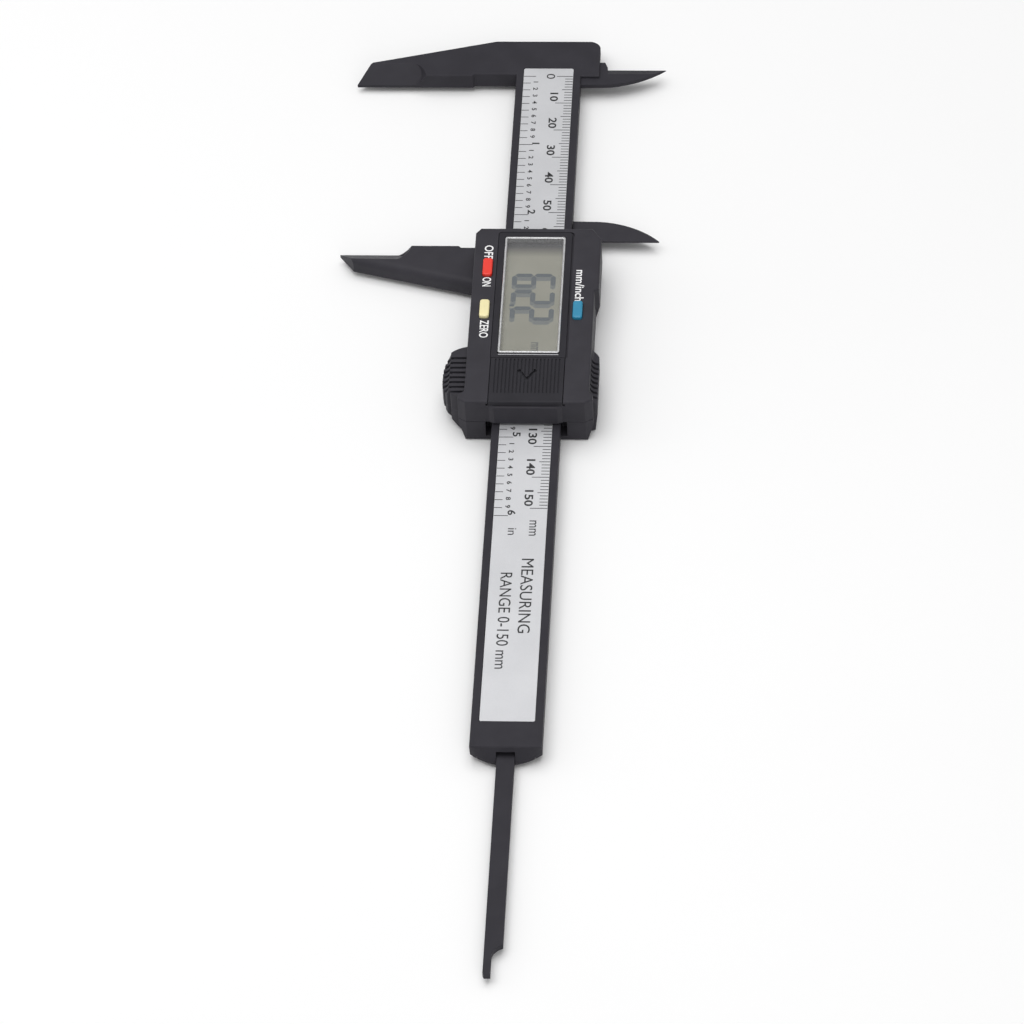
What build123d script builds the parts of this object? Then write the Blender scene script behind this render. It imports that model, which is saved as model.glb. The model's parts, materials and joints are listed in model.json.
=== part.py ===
from build123d import *
import os

os.makedirs("parts", exist_ok=True)

# A digital caliper of 150 mm range, opened to the reading below, in millimetres.
# The origin is the centre of the slider's flat back face. +Y runs along the beam towards the
# fixed jaw, the outside jaws point to -X, and +Z comes out of the display.

# ---------------------------------------------------------------- driving dimensions
opening = 62.2               # distance between the outside jaws at rest
slide_gap = 0.1              # running gap on each side of everything that slides
part_gap = 0.1               # assembly gap between fixed pieces that drop into each other

front_y = 29.45              # front and rear faces of the slider
rear_y = -29.9
jaw_lead = 1.1               # the slider's front edge stands this far behind its jaw's face
tray_height = 6.0            # the parting line of the two slider shells
top_z = 12.5                 # the slider's front face
back_wall = 1.4              # wall of the slider behind the beam
top_wall = 1.2
side_wall = 1.35

beam_width = 16.0
beam_thickness = 4.0
beam_back_z = back_wall + slide_gap
beam_front_z = beam_back_z + beam_thickness
mid_z = (beam_back_z + beam_front_z) / 2
layer_gap = 0.1              # between the crossing layers of the two inside jaws

sliding_face_y = front_y + jaw_lead
zero_y = sliding_face_y + opening          # the fixed jaw's measuring face, the scale's zero
beam_tail = 223.2            # from the zero to the beam's square front edge at the tail
tail_y = zero_y - beam_tail

# outside jaws, the same for both, measured from the measuring face into the jaw
jaw_tip_x = -47.8
jaw_shoulder = (-44.2, 5.0)
jaw_relief_x = -19.0
jaw_relief = 0.6
bevel_width = 4.7            # across the blade's knife bevel, in plan
bevel_drop = 3.2
bevel_end_radius = 3.2
bevel_end_x = -31.9
bevel_end_flare = 32          # the bevel's round end wall leans out by this angle

# head of the beam
head_length = 13.2
head_left_x = -13.5
head_right_x = 12.6
head_corner = 2.7

# inside jaws, measured from the zero of each outside jaw
inner_tip_x = 29.1
inner_edge = 4.1
inner_thickness = 1.15
inner_bevel_width = 2.4      # knife bevel along each inside measuring edge
inner_bevel_drop = 0.9

# label and capacitive scale strip on the beam
label_width = 12.3
label_start = 2.95           # past the zero, towards the head
label_end = 215.6
label_thickness = 0.15
strip_thickness = 0.6
recess_depth = 0.9

# depth rod
rod_width = 4.0
rod_thickness = 1.5
rod_reach = 285.4            # from the zero to the rod's tip
rod_root_y = 28.0

# slider shell outlines
left_x = -14.4
right_x = 15.75
waist_x = 14.75
block_left_x = -15.8
block_right_x = 15.6
grip_front_y = -10.0
grip_rear_y = -27.0

# grips
rib_pitch = 1.6
rib_count = 8
ribs_y = -19.5               # middle of each row of ribs
rib_depth = 0.6
grip_top_z = 11.0
grip_round = 1.7             # rounding of the grips' outer top edge
grip_bottom_z = 0.4

# fixings, buttons and display
screw_spacing_x = 22.6
screw_spacing_y = 47.6
screw_radius = 0.8
boss_radius = 2.3
board_thickness = 0.8
button_width = 2.3
button_length = 5.8
button_travel = 0.5
button_proud = 0.8
button_places = {"power": (-10.95, 15.35), "zero": (-11.0, 1.05), "unit": (11.0, 0.75)}
display_width = 14.5
display_length = 39.7
display_y = 6.45
bezel_width = 17.6
bezel_thickness = 0.6
bezel_front_y = front_y - 1.35
bezel_corner = 1.0           # rounding of the bezel's two front corners
frame_line = 0.55
frame_proud = 0.12           # the display frame stands this far above the slider's face

# battery and its cover
cell_radius = 5.8
cell_height = 4.2
cell_y = -20.95
lid_width = 17.2
lid_gap = 0.2                # on each side of the battery cover
lid_front_y = -15.05
lid_flange = 0.45
lid_flange_thickness = 0.4
lid_groove_pitch = 0.88
lid_groove_count = 18

board_z = tray_height
board_top_z = board_z + board_thickness
ceiling_z = top_z - top_wall


# ---------------------------------------------------------------- shared shapes
def housing_outline(waist_start_y, waist_end_y):
    """Plan of a slider shell: chamfered corners, a waist on the right and a wider rear block."""
    return [
        (left_x + 1.2, front_y), (right_x - 2.2, front_y), (right_x, front_y - 3.5),
        (right_x, waist_start_y), (waist_x, waist_end_y), (waist_x, grip_rear_y + 0.6),
        (block_right_x, grip_rear_y - 0.2), (block_right_x, rear_y + 1.2), (block_right_x - 1.8, rear_y),
        (block_left_x + 1.8, rear_y), (block_left_x, rear_y + 1.2), (block_left_x, grip_rear_y - 0.2),
        (left_x, grip_rear_y + 1.0), (left_x, front_y - 1.6),
    ]


def grip(side_x, bulge_x, peak_y, inset):
    """One plain bulge of a thumb grip over its whole height, shrunk by inset all round and on top."""
    direction = 1 if bulge_x > side_x else -1
    crown_x = bulge_x - direction * inset
    foot_x = side_x + direction * 1.2
    start_y = grip_front_y - inset
    end_y = grip_rear_y + inset
    crown_z = grip_top_z - inset
    with BuildPart() as bulge:
        with BuildSketch(Plane.XY.offset(grip_bottom_z)):
            with BuildLine():
                root = Polyline((side_x, end_y), (side_x - direction, end_y),
                                (side_x - direction, start_y), (side_x, start_y))
                Spline((side_x, start_y), (crown_x, peak_y), (foot_x, end_y + 0.4),
                       tangents=((direction, -0.25), (-direction, -0.35)))
                Line((foot_x, end_y + 0.4), root @ 0)
            make_face()
        extrude(amount=grip_top_z - grip_bottom_z)
        # seen along the beam: a rounded top edge, and a lower half that leans in
        with BuildSketch(Plane.XZ.offset(-start_y)):
            with BuildLine():
                side = Polyline((crown_x - direction * grip_round, crown_z), (side_x - direction * 2, crown_z),
                                (side_x - direction * 2, grip_bottom_z), (foot_x, grip_bottom_z),
                                (crown_x, tray_height - 1), (crown_x, crown_z - grip_round))
                RadiusArc(side @ 1, side @ 0, direction * grip_round)
            make_face()
        extrude(amount=start_y - end_y, mode=Mode.INTERSECT)
    return bulge.part


def ribbed_grip(side_x, bulge_x, peak_y):
    """A grip bulge with crosswise ribs; the grooves between them are one rib depth deep."""
    direction = 1 if bulge_x > side_x else -1
    with BuildPart() as ribs:
        add(grip(side_x, bulge_x, peak_y, 0))
        with Locations((side_x + direction * 5, ribs_y, top_z / 2)):
            with GridLocations(10, rib_pitch, 1, rib_count):
                Box(10, rib_pitch / 2, top_z, mode=Mode.SUBTRACT)
        add(grip(side_x, bulge_x, peak_y, rib_depth))
    return ribs.part


def blade_pocket(face_y, side):
    """The knife bevel of an outside jaw's tip; side is +1 where the jaw lies past its face."""
    middle = (bevel_end_x - bevel_end_radius, face_y + side * bevel_width / 2, beam_front_z - bevel_drop / 2)
    bevel = Plane(origin=middle, x_dir=(1, 0, 0), z_dir=(0, -side * bevel_drop, bevel_width))
    with BuildPart() as pocket:
        with BuildSketch(bevel):
            Circle(bevel_end_radius)
            with Locations((-10, 0)):
                Rectangle(20, 2 * bevel_end_radius)
        extrude(amount=5, taper=-bevel_end_flare)
    return pocket.part


def outside_jaw(face_y, side, root_x, root_depth):
    """Plan of an outside jaw: tip, shoulder, sloping back, root, relief and measuring face."""
    shoulder_x, shoulder_depth = jaw_shoulder
    return [
        (jaw_tip_x, face_y), (shoulder_x, face_y + side * shoulder_depth),
        (root_x, face_y + side * root_depth), (root_x, face_y + side * jaw_relief),
        (jaw_relief_x + 0.6, face_y + side * jaw_relief), (jaw_relief_x, face_y),
    ]


fixed_pocket = blade_pocket(zero_y, 1)
sliding_pocket = blade_pocket(sliding_face_y, -1)
back_space = Pos(0, 0, tray_height / 2) * Box(60, 80, tray_height)     # below the parting line
left_grip = ribbed_grip(left_x, -19.9, -18.3)
right_grip = ribbed_grip(waist_x, 16.5, -18.7)
left_grip_low = left_grip & back_space
right_grip_low = right_grip & back_space
left_grip_high = left_grip - back_space
right_grip_high = right_grip - back_space

# ---------------------------------------------------------------- beam with the fixed jaws
tail_corner_y = tail_y + 1.2
tail_crown_y = tail_y - 1.9
tail_block_y = tail_y + 12
rod_slot = rod_width + 2 * slide_gap
groove_top_z = beam_back_z + rod_thickness + slide_gap
guide_seat = 0.5             # how deep the rod guide plate is let into the beam's back
guide_width = 13.0
guide_length = 9.0
edge_break = 0.2             # small chamfer along the beam's front edges

with BuildPart() as beam:
    # the bar, then its tail, square in front and rounded behind
    with BuildSketch(Plane.XY.offset(beam_back_z)):
        with Locations((0, (zero_y + 1 + tail_block_y) / 2)):
            Rectangle(beam_width, zero_y + 1 - tail_block_y)
    extrude(amount=beam_thickness)
    with BuildSketch(Plane.XY.offset(beam_back_z)):
        with BuildLine():
            Polyline((-beam_width / 2, tail_corner_y), (-beam_width / 2, tail_block_y),
                     (beam_width / 2, tail_block_y), (beam_width / 2, tail_corner_y))
            ThreePointArc((beam_width / 2, tail_corner_y), (0, tail_crown_y), (-beam_width / 2, tail_corner_y))
        make_face()
    with BuildSketch(Plane.XY.offset(beam_front_z)):
        with BuildLine():
            Polyline((-beam_width / 2, tail_y), (-beam_width / 2, tail_block_y),
                     (beam_width / 2, tail_block_y), (beam_width / 2, tail_y), close=True)
        make_face()
    loft(ruled=True)
    # head and fixed outside jaw, full thickness up to the bar's right edge
    with BuildSketch(Plane.XY.offset(beam_back_z)):
        with BuildLine():
            Polyline(*outside_jaw(zero_y, 1, -beam_width / 2, 0)[:2],
                     (head_left_x, zero_y + head_length), (beam_width / 2, zero_y + head_length),
                     (beam_width / 2, zero_y - 1), (-beam_width / 2, zero_y - 1),
                     *outside_jaw(zero_y, 1, -beam_width / 2, 0)[3:], close=True)
        make_face()
    extrude(amount=beam_thickness)
    # the head's right end is only the front layer, so the sliding inside jaw passes behind it
    with BuildSketch(Plane.XY.offset(mid_z + layer_gap / 2)):
        with Locations((head_right_x / 2, zero_y + head_length / 2)):
            Rectangle(head_right_x, head_length)
        fillet(vertices().group_by(Axis.X)[-1].sort_by(Axis.Y)[-1:], radius=head_corner)
    extrude(amount=beam_front_z - mid_z - layer_gap / 2)
    chamfer(beam.edges().group_by(Axis.Z)[-1], length=edge_break)
    # fixed inside jaw
    with BuildSketch(Plane.XY.offset(mid_z + layer_gap / 2)):
        with BuildLine():
            Polyline((inner_tip_x, zero_y + inner_edge), (head_right_x + 2.0, zero_y + inner_edge),
                     (head_right_x + 1.3, zero_y + 6), (7, zero_y + 6), (7, zero_y - 2.4),
                     (15.3, zero_y - 2.2))
            ThreePointArc((15.3, zero_y - 2.2), (23.2, zero_y + 0.2), (inner_tip_x, zero_y + inner_edge))
        make_face()
    extrude(amount=inner_thickness)
    fixed_top_z = mid_z + layer_gap / 2 + inner_thickness
    with BuildSketch(Plane.YZ.offset(head_right_x + 2.0)):
        with BuildLine():
            Polyline((zero_y + inner_edge, fixed_top_z - inner_bevel_drop),
                     (zero_y + inner_edge - inner_bevel_width, fixed_top_z),
                     (zero_y + inner_edge, fixed_top_z + 1), close=True)
        make_face()
    extrude(amount=20, mode=Mode.SUBTRACT)
    add(fixed_pocket, mode=Mode.SUBTRACT)
    # seat of the scale strip and label
    with BuildSketch(Plane.XY.offset(beam_front_z)):
        with Locations((0, zero_y + (label_start - label_end) / 2)):
            RectangleRounded(label_width + 2 * part_gap, label_start + label_end + 2 * part_gap, 0.5)
    extrude(amount=-recess_depth, mode=Mode.SUBTRACT)
    # groove of the depth rod, taller where it leaves the tail
    with Locations((0, (zero_y - 1 + tail_y - 5) / 2, (beam_back_z + groove_top_z) / 2)):
        Box(rod_slot, zero_y - 1 - tail_y + 5, groove_top_z - beam_back_z, mode=Mode.SUBTRACT)
    with Locations((0, tail_y - 1, beam_back_z + 1.4)):
        Box(rod_slot, 6, 2.8, mode=Mode.SUBTRACT)
    # seat of the rod guide plate
    with Locations((0, tail_y - 5 + (guide_length + 5) / 2, beam_back_z + guide_seat / 2)):
        Box(guide_width, guide_length + 5, guide_seat, mode=Mode.SUBTRACT)
beam.part.label = "beam_and_fixed_jaw"
export_step(beam.part, "parts/beam_and_fixed_jaw.step")

with BuildPart() as scale_circuit_strip:
    with BuildSketch(Plane.XY.offset(beam_front_z - recess_depth)):
        with Locations((0, zero_y + (label_start - label_end) / 2)):
            Rectangle(label_width - 0.4, label_start + label_end - 0.4)
    extrude(amount=strip_thickness)
scale_circuit_strip.part.label = "scale_circuit_strip"
export_step(scale_circuit_strip.part, "parts/scale_circuit_strip.step")

with BuildPart() as scale_label:
    with BuildSketch(Plane.XY.offset(beam_front_z - recess_depth + strip_thickness)):
        with Locations((0, zero_y + (label_start - label_end) / 2)):
            RectangleRounded(label_width, label_start + label_end, 0.45)
    extrude(amount=label_thickness)
scale_label.part.label = "scale_label"
export_step(scale_label.part, "parts/scale_label.step")

guide_back_z = 0.9           # the plate stands proud of the beam's back, behind the rod
with BuildPart() as rod_guide_plate:
    with BuildSketch(Plane.XY.offset(guide_back_z)):
        with BuildLine():
            Polyline((-guide_width / 2 + part_gap, tail_y + 0.3), (-guide_width / 2 + part_gap, tail_y + 8.9),
                     (guide_width / 2 - part_gap, tail_y + 8.9), (guide_width / 2 - part_gap, tail_y + 0.3))
            ThreePointArc((guide_width / 2 - part_gap, tail_y + 0.3), (0, tail_crown_y + 0.2),
                          (-guide_width / 2 + part_gap, tail_y + 0.3))
        make_face()
    extrude(amount=beam_back_z + guide_seat - guide_back_z)
    with Locations((0, tail_y, beam_back_z + 0.2)):
        Box(rod_slot, 30, 0.6, mode=Mode.SUBTRACT)
    chamfer(rod_guide_plate.edges().group_by(Axis.Z)[0], length=0.25)
rod_guide_plate.part.label = "rod_guide_plate"
export_step(rod_guide_plate.part, "parts/rod_guide_plate.step")

# ---------------------------------------------------------------- slider: back shell with its jaws
gib_length = 40.0
gib_pocket = 1.3
rod_screw_y = 24.0
mouth_width = 19.0           # the channel widens at its rear mouth
mouth_depth = 3.5
inner_root_x = 14.0          # where the sliding inside jaw leaves the slider
slider_length = front_y - rear_y
lean = 1.5
lean_z = 4.5
parting_groove = 0.12        # chamfer of each shell along the parting line
jaw_round = 1.8              # rounding of the sliding jaw's sloping front edge

with BuildPart() as sliding_jaw:
    with BuildSketch(Plane.XY.offset(beam_back_z)):
        with BuildLine():
            Polyline(*outside_jaw(sliding_face_y, -1, -11.0, 14.2), close=True)
        make_face()
    extrude(amount=beam_thickness)
    slope = sliding_jaw.edges().group_by(Axis.Z)[-1].sort_by(SortBy.LENGTH)[-1]
    fillet(slope, radius=jaw_round)
    add(sliding_pocket, mode=Mode.SUBTRACT)

with BuildPart() as slider_body:
    with BuildSketch():
        with BuildLine():
            Polyline(*housing_outline(10.9, 10.1), close=True)
        make_face()
    extrude(amount=tray_height)
    # seen along the beam, the sides lean in towards the back face
    with BuildSketch(Plane.XZ.offset(-slider_length)):
        with BuildLine():
            Polyline((block_left_x - 1, tray_height), (block_left_x - 1, lean_z), (block_left_x, lean_z),
                     (block_left_x + lean, 0), (right_x - lean, 0), (right_x, lean_z),
                     (right_x + 1, lean_z), (right_x + 1, tray_height), close=True)
        make_face()
    extrude(amount=2 * slider_length, mode=Mode.INTERSECT)
    chamfer(slider_body.edges().group_by(Axis.Z)[0].filter_by(Axis.X), length=0.4)
    chamfer(slider_body.edges().group_by(Axis.Z)[-1], length=parting_groove)
    add(left_grip_low)
    add(right_grip_low)
    add(sliding_jaw.part)
    # sliding inside jaw, in the back layer
    channel_x = beam_width / 2 + slide_gap
    with BuildSketch(Plane.XY.offset(beam_back_z)):
        with BuildLine():
            Polyline((inner_tip_x, sliding_face_y + inner_edge), (inner_root_x, sliding_face_y + inner_edge),
                     (inner_root_x, front_y - 2), (channel_x, front_y - 2), (channel_x, sliding_face_y + 11.15),
                     (12.5, sliding_face_y + 11.05))
            ThreePointArc((12.5, sliding_face_y + 11.05), (22.3, sliding_face_y + 9.0),
                          (inner_tip_x, sliding_face_y + inner_edge))
        make_face()
    extrude(amount=mid_z - layer_gap / 2 - beam_back_z)
    with BuildSketch(Plane.YZ.offset(inner_root_x)):
        with BuildLine():
            Polyline((sliding_face_y + inner_edge, beam_back_z + inner_bevel_drop + 0.6),
                     (sliding_face_y + inner_edge + inner_bevel_width, beam_back_z),
                     (sliding_face_y + inner_edge, beam_back_z - 1), close=True)
        make_face()
    extrude(amount=20, mode=Mode.SUBTRACT)
    # channel of the beam, wider at the rear mouth
    with Locations((0, 0, back_wall + (tray_height - back_wall) / 2)):
        Box(2 * channel_x, 2 * slider_length, tray_height - back_wall, mode=Mode.SUBTRACT)
    with Locations((0, rear_y, back_wall + (tray_height - back_wall) / 2)):
        Box(mouth_width, 2 * mouth_depth, tray_height - back_wall, mode=Mode.SUBTRACT)
    # clearance for the fixed inside jaw when the caliper is closed
    with Locations((inner_root_x, front_y, (mid_z + tray_height) / 2)):
        Box(12.0, 3.6, tray_height - mid_z + layer_gap, mode=Mode.SUBTRACT)
    # pocket of the gib spring
    with Locations((-channel_x - gib_pocket / 2, 0, (beam_back_z + tray_height) / 2)):
        Box(gib_pocket + 0.4, gib_length + 2, tray_height - beam_back_z, mode=Mode.SUBTRACT)
    # screw holes from the back
    with Locations(Plane.XY.rotated((180, 0, 0))):
        with GridLocations(screw_spacing_x, screw_spacing_y, 2, 2):
            CounterBoreHole(radius=0.95, counter_bore_radius=1.9, counter_bore_depth=1.6)
        with Locations((0, -rod_screw_y)):
            CounterSinkHole(radius=0.75, counter_sink_radius=1.5)
slider_body.part.label = "slider_body"
export_step(slider_body.part, "parts/slider_body.step")

# ---------------------------------------------------------------- slider: front shell
bridge_half = 7.4
bridge_slope = 1.3           # run of its sloping sides
bridge_proud = 0.55          # the rear wall over the beam stands proud of the corner blocks
lid_opening = lid_width + 2 * lid_gap
flange_opening = lid_width + 2 * lid_flange + 2 * lid_gap
flange_bottom_z = ceiling_z
flange_top_z = ceiling_z + lid_flange_thickness
cavity_front_y = front_y - 1.25
cavity_rear_y = rear_y + 2.5
bezel_gap = 0.5              # wider along the bezel's right side

with BuildPart() as front_cover:
    with BuildSketch(Plane.XY.offset(tray_height)):
        with BuildLine():
            Polyline(*housing_outline(8.7, 7.9), close=True)
        make_face()
    extrude(amount=top_z - tray_height)
    fillet(front_cover.edges().group_by(Axis.Z)[-1], radius=0.5)
    chamfer(front_cover.edges().group_by(Axis.Z)[0], length=parting_groove)
    # rear wall over the beam, a pad with sloping sides just under the battery cover
    with BuildSketch(Plane.XY.offset(tray_height)):
        with BuildLine():
            Polyline((-bridge_half, rear_y - bridge_proud), (bridge_half, rear_y - bridge_proud),
                     (bridge_half + bridge_slope, rear_y + 0.1), (bridge_half + bridge_slope, rear_y + 1),
                     (-bridge_half - bridge_slope, rear_y + 1),
                     (-bridge_half - bridge_slope, rear_y + 0.1), close=True)
        make_face()
    extrude(amount=ceiling_z - slide_gap - tray_height)
    pad_rim = front_cover.edges().filter_by_position(Axis.Y, rear_y - 1, rear_y - bridge_proud / 2)
    fillet(pad_rim.group_by(Axis.Z)[-1], radius=0.45)
    # cavity
    cavity_y = (cavity_front_y + cavity_rear_y) / 2
    with Locations(((waist_x + left_x) / 2, cavity_y, (tray_height + ceiling_z) / 2)):
        Box(waist_x - left_x - 2 * side_wall, cavity_front_y - cavity_rear_y, ceiling_z - tray_height,
            mode=Mode.SUBTRACT)
    # screw bosses, rails of the battery cover and the battery's ring wall
    with BuildSketch(Plane.XY.offset(tray_height)):
        with GridLocations(screw_spacing_x, screw_spacing_y, 2, 2):
            Circle(boss_radius)
    extrude(amount=ceiling_z - tray_height)
    with Locations((0, (lid_front_y + rear_y) / 2, ceiling_z - 0.5)):
        with GridLocations(18.4, 1, 2, 1):
            Box(2.2, lid_front_y - rear_y - 1, 0.8)
    with BuildSketch(Plane.XY.offset(board_top_z + 0.1)):
        with Locations((0, cell_y)):
            Circle(cell_radius + 0.9)
            Circle(cell_radius + 0.15, mode=Mode.SUBTRACT)
        with Locations((cell_radius + 0.5, cell_y), (0, cell_y - cell_radius - 0.5)):
            Rectangle(3.0, 3.0, mode=Mode.SUBTRACT)
    extrude(amount=ceiling_z - board_top_z - 0.2)
    add(left_grip_high)
    add(right_grip_high)
    # recess of the bezel and opening of the display
    with BuildSketch(Plane.XY.offset(top_z)):
        with Locations(((bezel_gap - part_gap) / 2, (lid_front_y + bezel_front_y) / 2)):
            Rectangle(bezel_width + bezel_gap + part_gap, bezel_front_y - lid_front_y)
        fillet(vertices().group_by(Axis.Y)[-1], radius=bezel_corner)
    extrude(amount=-bezel_thickness, mode=Mode.SUBTRACT)
    with BuildSketch(Plane.XY.offset(top_z)):
        with Locations((0, display_y)):
            Rectangle(display_width + 2 * part_gap, display_length + 2 * part_gap)
    extrude(amount=-top_wall, mode=Mode.SUBTRACT)
    # opening of the battery cover, open at the rear, and the grooves of its flanges
    lid_middle_y = (lid_front_y + rear_y - 2) / 2
    lid_run = lid_front_y - rear_y + 2
    with Locations((0, lid_middle_y, ceiling_z + 1)):
        Box(lid_opening, lid_run, 2.2, mode=Mode.SUBTRACT)
    with Locations((0, lid_middle_y, (flange_bottom_z + flange_top_z) / 2)):
        Box(flange_opening, lid_run, flange_top_z - flange_bottom_z + 2 * slide_gap, mode=Mode.SUBTRACT)
    # button holes
    with BuildSketch(Plane.XY.offset(top_z)):
        with Locations(*button_places.values()):
            RectangleRounded(button_width + 2 * slide_gap, button_length + 2 * slide_gap, 0.8)
    extrude(amount=-top_wall, mode=Mode.SUBTRACT)
    # pilot holes of the screws
    with BuildSketch(Plane.XY.offset(tray_height)):
        with GridLocations(screw_spacing_x, screw_spacing_y, 2, 2):
            Circle(screw_radius + 0.02)
    extrude(amount=4.6, mode=Mode.SUBTRACT)
front_cover.part.label = "front_cover"
export_step(front_cover.part, "parts/front_cover.step")

# ---------------------------------------------------------------- display stack
with BuildPart() as display_bezel:
    with BuildSketch(Plane.XY.offset(top_z - bezel_thickness)):
        with Locations((0, (lid_front_y + bezel_front_y) / 2)):
            Rectangle(bezel_width, bezel_front_y - lid_front_y - 2 * part_gap)
        fillet(vertices().group_by(Axis.Y)[-1], radius=bezel_corner - part_gap)
        with Locations((0, display_y)):
            Rectangle(display_width + part_gap, display_length + part_gap, mode=Mode.SUBTRACT)
    extrude(amount=bezel_thickness)
    chamfer(display_bezel.edges().group_by(Axis.Z)[-1], length=0.12)
display_bezel.part.label = "display_bezel"
export_step(display_bezel.part, "parts/display_bezel.step")

lcd_top_z = ceiling_z - 0.25
with BuildPart() as display_frame:
    with BuildSketch(Plane.XY.offset(lcd_top_z)):
        with Locations((0, display_y)):
            RectangleRounded(display_width, display_length, 0.6)
            RectangleRounded(display_width - 2 * frame_line, display_length - 2 * frame_line, 0.3,
                             mode=Mode.SUBTRACT)
    extrude(amount=top_z + frame_proud - lcd_top_z)
    chamfer(display_frame.edges().group_by(Axis.Z)[-1], length=0.12)
display_frame.part.label = "display_frame"
export_step(display_frame.part, "parts/display_frame.step")

with BuildPart() as display_window:
    with BuildSketch(Plane.XY.offset(lcd_top_z + 0.1)):
        with Locations((0, display_y)):
            RectangleRounded(display_width - 2 * frame_line - 0.04, display_length - 2 * frame_line - 0.04, 0.28)
    extrude(amount=1.1)
display_window.part.label = "display_window"
export_step(display_window.part, "parts/display_window.step")

lcd_thickness = 1.6
with BuildPart() as lcd_glass:
    with BuildSketch(Plane.XY.offset(lcd_top_z - lcd_thickness)):
        with Locations((0, display_y)):
            Rectangle(display_width + 1.8, display_length + 1.4)
    extrude(amount=lcd_thickness)
    chamfer(lcd_glass.edges().group_by(Axis.Z)[-1], length=0.1)
lcd_glass.part.label = "lcd_glass"
export_step(lcd_glass.part, "parts/lcd_glass.step")

lcd_bottom_z = lcd_top_z - lcd_thickness
connector_x = 6.6
with BuildPart() as lcd_holder:
    with BuildSketch(Plane.XY.offset(board_top_z)):
        with Locations((0, display_y)):
            Rectangle(display_width + 2.6, display_length + 1.4)
            Rectangle(display_width - 3.4, display_length - 2.6, mode=Mode.SUBTRACT)
        with Locations((connector_x, display_y)):
            Rectangle(1.9, 37.0, mode=Mode.SUBTRACT)
    extrude(amount=lcd_bottom_z - board_top_z)
lcd_holder.part.label = "lcd_holder"
export_step(lcd_holder.part, "parts/lcd_holder.step")

with BuildPart() as lcd_connector:
    with BuildSketch(Plane.XY.offset(board_top_z)):
        with Locations((connector_x, display_y)):
            Rectangle(1.7, 36.6)
    extrude(amount=lcd_bottom_z - board_top_z)
lcd_connector.part.label = "lcd_connector"
export_step(lcd_connector.part, "parts/lcd_connector.step")

# ---------------------------------------------------------------- electronics
board_width = 25.4
with BuildPart() as circuit_board:
    with BuildSketch(Plane.XY.offset(board_z)):
        with Locations((0, cavity_y)):
            Rectangle(board_width, cavity_front_y - cavity_rear_y - 0.5)
        with GridLocations(screw_spacing_x, screw_spacing_y, 2, 2):
            Circle(boss_radius + 0.2, mode=Mode.SUBTRACT)
        with GridLocations(board_width, screw_spacing_y, 2, 2):
            Rectangle(3.0, 4.4, mode=Mode.SUBTRACT)
    extrude(amount=board_thickness)
circuit_board.part.label = "circuit_board"
export_step(circuit_board.part, "parts/circuit_board.step")

pad_thickness = 0.08
with BuildPart() as sensor_electrodes:
    with BuildSketch(Plane.XY.offset(board_z)):
        with Locations((3.2, 2.0)):
            with GridLocations(1, 1.0, 1, 32):
                Rectangle(5.0, 0.6)
        with Locations((-3.4, 2.0)):
            Rectangle(4.4, 31.6)
    extrude(amount=-pad_thickness)
sensor_electrodes.part.label = "sensor_electrodes"
export_step(sensor_electrodes.part, "parts/sensor_electrodes.step")

with BuildPart() as controller_chip:
    with BuildSketch(Plane.XY.offset(board_top_z)):
        with Locations((0, 8.0)):
            Circle(3.6)
    extrude(amount=1.0, taper=40)
    fillet(controller_chip.edges().group_by(Axis.Z)[-1], radius=0.5)
controller_chip.part.label = "controller_chip"
export_step(controller_chip.part, "parts/controller_chip.step")

with BuildPart() as board_components:
    with BuildSketch(Plane.XY.offset(board_top_z)):
        with Locations((-2.6, 17.0), (0.4, 17.0), (-2.6, 20.0)):
            Rectangle(2.0, 1.25)
        with Locations((2.4, -1.5), (-1.8, -1.5), (2.4, -5.0), (-1.8, -5.0)):
            Rectangle(1.6, 0.8)
    extrude(amount=0.7)
board_components.part.label = "board_components"
export_step(board_components.part, "parts/board_components.step")

# ---------------------------------------------------------------- battery, contacts and cover
cell_top_z = ceiling_z - slide_gap
cell_bottom_z = cell_top_z - cell_height
with BuildPart() as coin_cell:
    with BuildSketch(Plane.XY.offset(cell_bottom_z + 0.35)):
        with Locations((0, cell_y)):
            Circle(cell_radius)
    extrude(amount=cell_height - 0.35)
    fillet(coin_cell.edges().group_by(Axis.Z)[-1], radius=0.4)
    with BuildSketch(Plane.XY.offset(cell_bottom_z)):
        with Locations((0, cell_y)):
            Circle(cell_radius - 1.1)
    extrude(amount=0.35)
coin_cell.part.label = "coin_cell"
export_step(coin_cell.part, "parts/coin_cell.step")

with BuildPart() as battery_contact_negative:
    with BuildSketch(Plane.XY.offset(board_top_z)):
        with Locations((0, cell_y)):
            Rectangle(3.0, 8.0)
            Circle(2.4)
    extrude(amount=cell_bottom_z - board_top_z)
battery_contact_negative.part.label = "battery_contact_negative"
export_step(battery_contact_negative.part, "parts/battery_contact_negative.step")

with BuildPart() as battery_contact_positive:
    with Locations((cell_radius + 0.15, cell_y, board_top_z + 1.7)):
        Box(0.25, 2.6, 3.4)
    with Locations((cell_radius + 0.95, cell_y, board_top_z + 0.125)):
        Box(1.85, 2.6, 0.25)
battery_contact_positive.part.label = "battery_contact_positive"
export_step(battery_contact_positive.part, "parts/battery_contact_positive.step")

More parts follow.
